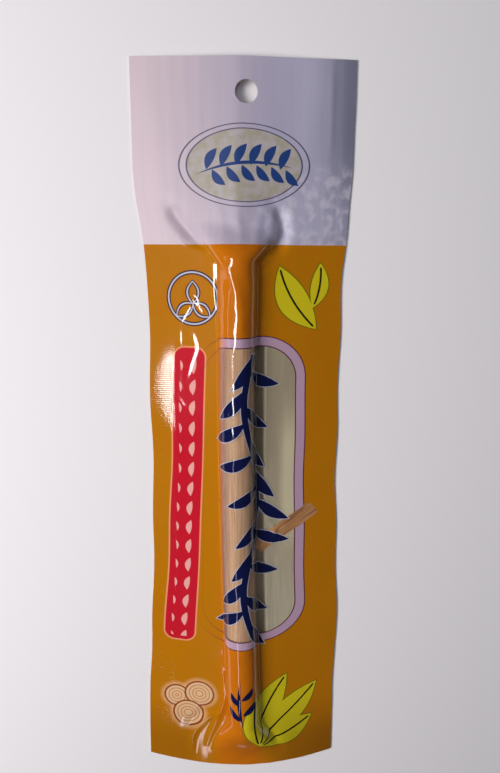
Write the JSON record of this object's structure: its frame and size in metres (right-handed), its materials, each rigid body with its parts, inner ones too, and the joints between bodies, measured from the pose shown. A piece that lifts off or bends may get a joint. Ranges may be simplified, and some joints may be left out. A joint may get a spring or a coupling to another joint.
{
  "type": "miswak stick in sealed pouch",
  "caption": "Straight peeled chewing-root stick sealed in a flat printed film pouch with a clear window and a header with a hang hole.",
  "frame": {"origin": "centre of the box that holds the pouch, on the surface it lies on", "axes": "+Y along the pouch towards the header with the hang hole, +X to the right seen from the front, +Z out of the printed front face"},
  "size_m": [0.0622, 0.22, 0.0119],
  "materials": {
    "miswak_wood": "peeled root, matt, fine lengthwise grain",
    "printed_film": "glossy printed film, clear in its window",
    "backing_film": "glossy printed film, cream on its inner face"
  },
  "bodies": {
    "root": {"miswak_stick": "miswak_wood", "front_film": "printed_film", "back_film": "backing_film"}
  },
  "joints": []
}
